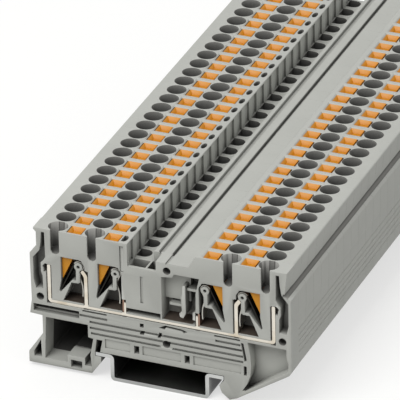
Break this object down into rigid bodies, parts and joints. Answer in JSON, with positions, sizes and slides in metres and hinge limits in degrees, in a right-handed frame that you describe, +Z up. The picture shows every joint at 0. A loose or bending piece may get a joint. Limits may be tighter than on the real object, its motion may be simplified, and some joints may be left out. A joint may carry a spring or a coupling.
{
  "type": "push-in terminal block row",
  "caption": "Row of slim push-in terminal blocks latched on a hat rail, with wire holes, sprung release buttons, bridging channel and open clamps at one end.",
  "frame": {"origin": "middle of the overall box at the underside of the rail's web", "axes": "+X across the rail from the spring foot to the fixed foot, +Y along the rail away from the open face, +Z up"},
  "size_m": [0.072, 0.157, 0.0406],
  "materials": {
    "housing": "satin moulded polyamide",
    "button": "satin moulded plastic",
    "tinned_bar": "matt tin plate",
    "spring_steel": "rolled strip",
    "rail_steel": "zinc plated sheet"
  },
  "bodies": {
    "block": {"housing_01": "housing", "housing_02": "housing", "housing_03": "housing", "housings_04_12": "housing", "housings_13_21": "housing", "housings_22_30": "housing", "current_bar": "tinned_bar", "clamp_spring_1": "spring_steel", "clamp_spring_2": "spring_steel", "clamp_spring_3": "spring_steel", "clamp_spring_4": "spring_steel", "button_line_1": "button", "button_line_2": "button", "button_line_3": "button", "button_line_4": "button", "rail": "rail_steel"},
    "button_01_1": {"button_01_1": "button"},
    "button_01_2": {"button_01_2": "button"},
    "button_01_3": {"button_01_3": "button"},
    "button_01_4": {"button_01_4": "button"},
    "button_02_1": {"button_02_1": "button"},
    "button_02_2": {"button_02_2": "button"},
    "button_02_3": {"button_02_3": "button"},
    "button_02_4": {"button_02_4": "button"},
    "button_03_1": {"button_03_1": "button"},
    "button_03_2": {"button_03_2": "button"},
    "button_03_3": {"button_03_3": "button"},
    "button_03_4": {"button_03_4": "button"},
    "button_04_1": {"button_04_1": "button"},
    "button_04_2": {"button_04_2": "button"},
    "button_04_3": {"button_04_3": "button"},
    "button_04_4": {"button_04_4": "button"},
    "button_05_1": {"button_05_1": "button"},
    "button_05_2": {"button_05_2": "button"},
    "button_05_3": {"button_05_3": "button"},
    "button_05_4": {"button_05_4": "button"},
    "button_06_1": {"button_06_1": "button"},
    "button_06_2": {"button_06_2": "button"},
    "button_06_3": {"button_06_3": "button"},
    "button_06_4": {"button_06_4": "button"},
    "button_07_1": {"button_07_1": "button"},
    "button_07_2": {"button_07_2": "button"},
    "button_07_3": {"button_07_3": "button"},
    "button_07_4": {"button_07_4": "button"}
  },
  "joints": [
    {"name": "press_01_1", "type": "slide", "parent": "block", "child": "button_01_1", "axis": [0, 0, -1], "range_m": [0, 0.001], "stiffness_N_per_m": 300},
    {"name": "press_01_2", "type": "slide", "parent": "block", "child": "button_01_2", "axis": [0, 0, -1], "range_m": [0, 0.001], "stiffness_N_per_m": 300},
    {"name": "press_01_3", "type": "slide", "parent": "block", "child": "button_01_3", "axis": [0, 0, -1], "range_m": [0, 0.001], "stiffness_N_per_m": 300},
    {"name": "press_01_4", "type": "slide", "parent": "block", "child": "button_01_4", "axis": [0, 0, -1], "range_m": [0, 0.001], "stiffness_N_per_m": 300},
    {"name": "press_02_1", "type": "slide", "parent": "block", "child": "button_02_1", "axis": [0, 0, -1], "range_m": [0, 0.001], "stiffness_N_per_m": 300},
    {"name": "press_02_2", "type": "slide", "parent": "block", "child": "button_02_2", "axis": [0, 0, -1], "range_m": [0, 0.001], "stiffness_N_per_m": 300},
    {"name": "press_02_3", "type": "slide", "parent": "block", "child": "button_02_3", "axis": [0, 0, -1], "range_m": [0, 0.001], "stiffness_N_per_m": 300},
    {"name": "press_02_4", "type": "slide", "parent": "block", "child": "button_02_4", "axis": [0, 0, -1], "range_m": [0, 0.001], "stiffness_N_per_m": 300},
    {"name": "press_03_1", "type": "slide", "parent": "block", "child": "button_03_1", "axis": [0, 0, -1], "range_m": [0, 0.001], "stiffness_N_per_m": 300},
    {"name": "press_03_2", "type": "slide", "parent": "block", "child": "button_03_2", "axis": [0, 0, -1], "range_m": [0, 0.001], "stiffness_N_per_m": 300},
    {"name": "press_03_3", "type": "slide", "parent": "block", "child": "button_03_3", "axis": [0, 0, -1], "range_m": [0, 0.001], "stiffness_N_per_m": 300},
    {"name": "press_03_4", "type": "slide", "parent": "block", "child": "button_03_4", "axis": [0, 0, -1], "range_m": [0, 0.001], "stiffness_N_per_m": 300},
    {"name": "press_04_1", "type": "slide", "parent": "block", "child": "button_04_1", "axis": [0, 0, -1], "range_m": [0, 0.001], "stiffness_N_per_m": 300},
    {"name": "press_04_2", "type": "slide", "parent": "block", "child": "button_04_2", "axis": [0, 0, -1], "range_m": [0, 0.001], "stiffness_N_per_m": 300},
    {"name": "press_04_3", "type": "slide", "parent": "block", "child": "button_04_3", "axis": [0, 0, -1], "range_m": [0, 0.001], "stiffness_N_per_m": 300},
    {"name": "press_04_4", "type": "slide", "parent": "block", "child": "button_04_4", "axis": [0, 0, -1], "range_m": [0, 0.001], "stiffness_N_per_m": 300},
    {"name": "press_05_1", "type": "slide", "parent": "block", "child": "button_05_1", "axis": [0, 0, -1], "range_m": [0, 0.001], "stiffness_N_per_m": 300},
    {"name": "press_05_2", "type": "slide", "parent": "block", "child": "button_05_2", "axis": [0, 0, -1], "range_m": [0, 0.001], "stiffness_N_per_m": 300},
    {"name": "press_05_3", "type": "slide", "parent": "block", "child": "button_05_3", "axis": [0, 0, -1], "range_m": [0, 0.001], "stiffness_N_per_m": 300},
    {"name": "press_05_4", "type": "slide", "parent": "block", "child": "button_05_4", "axis": [0, 0, -1], "range_m": [0, 0.001], "stiffness_N_per_m": 300},
    {"name": "press_06_1", "type": "slide", "parent": "block", "child": "button_06_1", "axis": [0, 0, -1], "range_m": [0, 0.001], "stiffness_N_per_m": 300},
    {"name": "press_06_2", "type": "slide", "parent": "block", "child": "button_06_2", "axis": [0, 0, -1], "range_m": [0, 0.001], "stiffness_N_per_m": 300},
    {"name": "press_06_3", "type": "slide", "parent": "block", "child": "button_06_3", "axis": [0, 0, -1], "range_m": [0, 0.001], "stiffness_N_per_m": 300},
    {"name": "press_06_4", "type": "slide", "parent": "block", "child": "button_06_4", "axis": [0, 0, -1], "range_m": [0, 0.001], "stiffness_N_per_m": 300},
    {"name": "press_07_1", "type": "slide", "parent": "block", "child": "button_07_1", "axis": [0, 0, -1], "range_m": [0, 0.001], "stiffness_N_per_m": 300},
    {"name": "press_07_2", "type": "slide", "parent": "block", "child": "button_07_2", "axis": [0, 0, -1], "range_m": [0, 0.001], "stiffness_N_per_m": 300},
    {"name": "press_07_3", "type": "slide", "parent": "block", "child": "button_07_3", "axis": [0, 0, -1], "range_m": [0, 0.001], "stiffness_N_per_m": 300},
    {"name": "press_07_4", "type": "slide", "parent": "block", "child": "button_07_4", "axis": [0, 0, -1], "range_m": [0, 0.001], "stiffness_N_per_m": 300}
  ]
}
